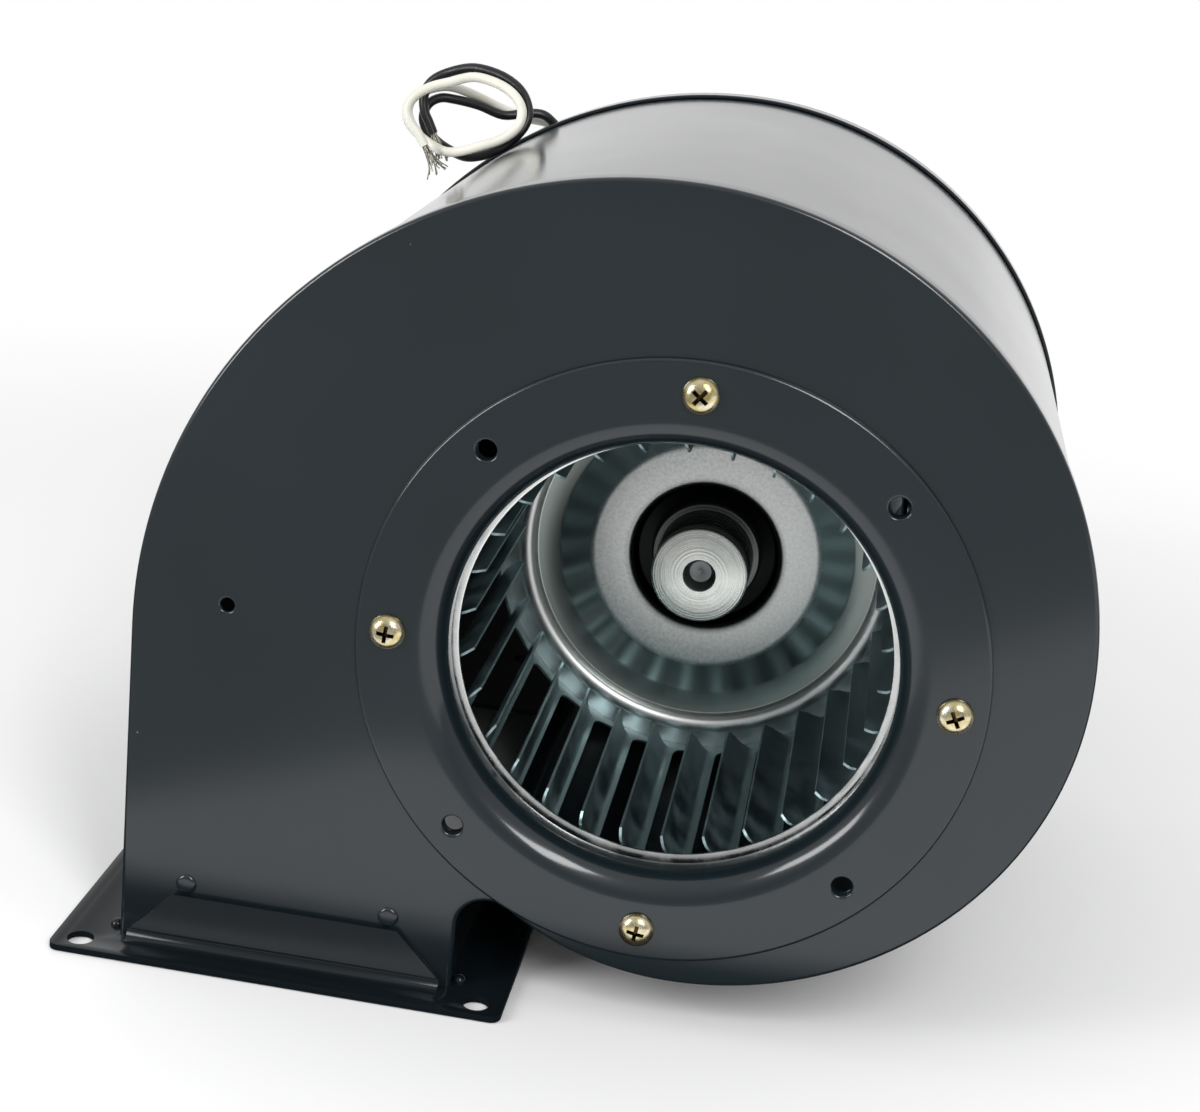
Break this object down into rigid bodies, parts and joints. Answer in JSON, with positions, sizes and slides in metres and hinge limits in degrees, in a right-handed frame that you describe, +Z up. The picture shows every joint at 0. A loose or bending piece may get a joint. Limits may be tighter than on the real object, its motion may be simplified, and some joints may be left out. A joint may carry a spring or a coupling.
{
  "type": "blower fan motor",
  "caption": "Double-inlet centrifugal blower: painted scroll housing with bolted inlet rings and outlet flange, louvred drum wheel, and a motor on a bracket behind it.",
  "frame": {"origin": "centre of the outlet flange's lower face", "axes": "+Z up away from the flange, -Y towards the front inlet, +X from the duct towards the wheel"},
  "size_m": [0.2294, 0.3017, 0.1973],
  "materials": {
    "enamel": "gloss charcoal enamel",
    "flange_enamel": "gloss charcoal enamel",
    "yellow_zinc": "yellow chromate on zinc plate",
    "motor_shell": "drawn zinc-plated shell",
    "bright_zinc": "bright zinc plate",
    "bronze": "oil-soaked sintered bronze",
    "lamination": "bare stacked laminations",
    "copper": "varnished copper wire",
    "rubber": "matte",
    "black_pvc": "satin insulation",
    "white_pvc": "satin insulation",
    "tinned_copper": "dull tinned strands",
    "wheel_zinc": "galvanised sheet",
    "turned_hub": "fine turned face",
    "black_steel": "black oxide",
    "ground_steel": "ground",
    "cast_aluminium": "as cast",
    "nylon": "natural"
  },
  "bodies": {
    "housing": {"front_plate": "enamel", "rear_plate": "enamel", "scroll_wrap": "enamel", "outlet_flange": "flange_enamel", "flange_rivets": "enamel", "corner_welds": "enamel", "front_inlet_ring": "enamel", "rear_inlet_ring": "enamel", "front_ring_screws": "yellow_zinc", "rear_ring_screws": "yellow_zinc", "motor_bracket": "enamel", "bracket_screws": "yellow_zinc", "front_end_bell": "motor_shell", "rear_end_bell": "motor_shell", "through_bolts": "bright_zinc", "bolt_nuts": "bright_zinc", "front_bearing": "bronze", "rear_bearing": "bronze", "stator_core": "lamination", "stator_windings": "copper", "lead_grommet": "rubber", "black_lead": "black_pvc", "white_lead": "white_pvc", "lead_strands": "tinned_copper"},
    "rotor": {"blade_strip": "wheel_zinc", "front_wheel_ring": "wheel_zinc", "rear_wheel_ring": "wheel_zinc", "centre_plate": "wheel_zinc", "wheel_hub": "turned_hub", "hub_set_screw": "black_steel", "motor_shaft": "ground_steel", "rotor_core": "lamination", "rotor_end_rings": "cast_aluminium", "thrust_washers": "nylon"}
  },
  "joints": [
    {"name": "wheel_spin", "type": "hinge", "parent": "housing", "child": "rotor", "pos_m": [0.0828, 0, 0.0885], "axis": [0, -1, 0], "continuous": true}
  ]
}
